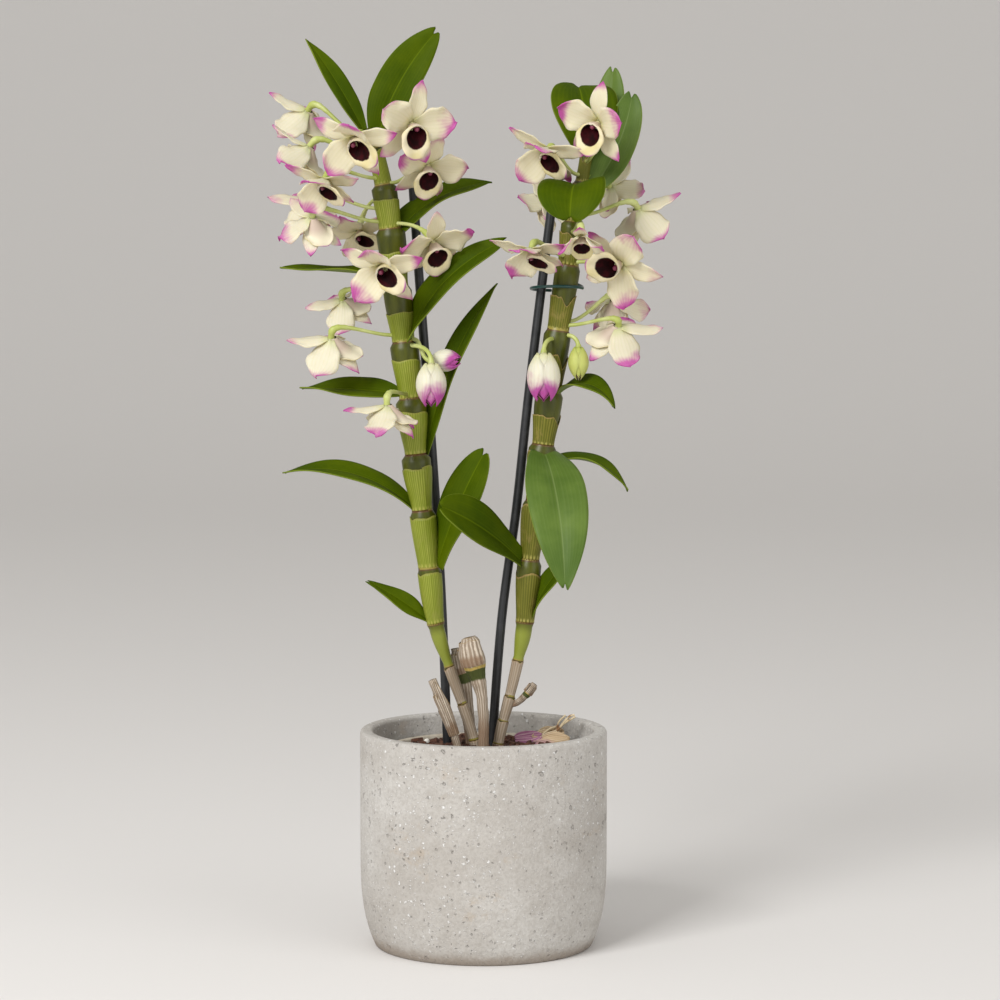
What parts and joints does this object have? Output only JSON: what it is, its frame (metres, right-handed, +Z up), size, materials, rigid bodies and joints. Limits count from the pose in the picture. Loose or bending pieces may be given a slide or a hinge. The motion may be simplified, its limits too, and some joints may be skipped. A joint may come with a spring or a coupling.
{
  "type": "potted orchid",
  "caption": "Potted orchid with leaning flowering canes, strap leaves and white and purple blooms, standing in a round cement cover pot",
  "frame": {"origin": "centre of the cover pot's flat foot, on the ground plane", "axes": "+Z up, +X to the right seen from the front, -Y the front"},
  "size_m": [0.2505, 0.15, 0.5554],
  "materials": {
    "cement": null,
    "nursery_plastic": "thin cream plastic",
    "bark": "loose dark brown chipped bark",
    "cane": null,
    "dry_sheath": null,
    "stake_plastic": "black coated rod",
    "green_wire": "dark green coated wire",
    "leaf": null,
    "petal": null,
    "bud_green": null,
    "wilted": null
  },
  "bodies": {
    "root": {"cover_pot": "cement", "nursery_pot": "nursery_plastic", "bark_mix": "bark", "cane_left": "cane", "cane_right": "cane", "old_cane_thin": "dry_sheath", "old_cane_back": "dry_sheath", "old_cane_front": "dry_sheath", "old_cane_side": "dry_sheath", "stake_left": "stake_plastic", "stake_right": "stake_plastic", "ring_clip": "green_wire", "leaf_left_01": "leaf", "leaf_left_02": "leaf", "leaf_left_03": "leaf", "leaf_left_04": "leaf", "leaf_left_05": "leaf", "leaf_left_06": "leaf", "leaf_left_07": "leaf", "leaf_left_08": "leaf", "leaf_left_09": "leaf", "leaf_left_10": "leaf", "leaf_right_01": "leaf", "leaf_right_02": "leaf", "leaf_right_03": "leaf", "leaf_right_04": "leaf", "leaf_right_05": "leaf", "leaf_right_06": "leaf", "leaf_right_07": "leaf", "leaf_right_08": "leaf", "leaf_right_09": "leaf", "flower_left_01": "petal", "flower_left_02": "petal", "flower_left_03": "petal", "flower_left_04": "petal", "flower_left_05": "petal", "flower_left_06": "petal", "flower_left_07": "petal", "flower_left_08": "petal", "flower_left_09": "petal", "flower_left_10": "petal", "flower_left_11": "petal", "flower_left_12": "petal", "flower_left_13": "petal", "flower_left_14": "petal", "flower_right_01": "petal", "flower_right_02": "petal", "flower_right_03": "petal", "flower_right_04": "petal", "flower_right_05": "petal", "flower_right_06": "petal", "flower_right_07": "petal", "flower_right_08": "petal", "flower_right_09": "petal", "flower_right_10": "petal", "bud_left_01": "petal", "bud_left_02": "petal", "bud_right_01": "petal", "bud_right_02": "bud_green", "wilted_flower": "wilted"}
  },
  "joints": []
}
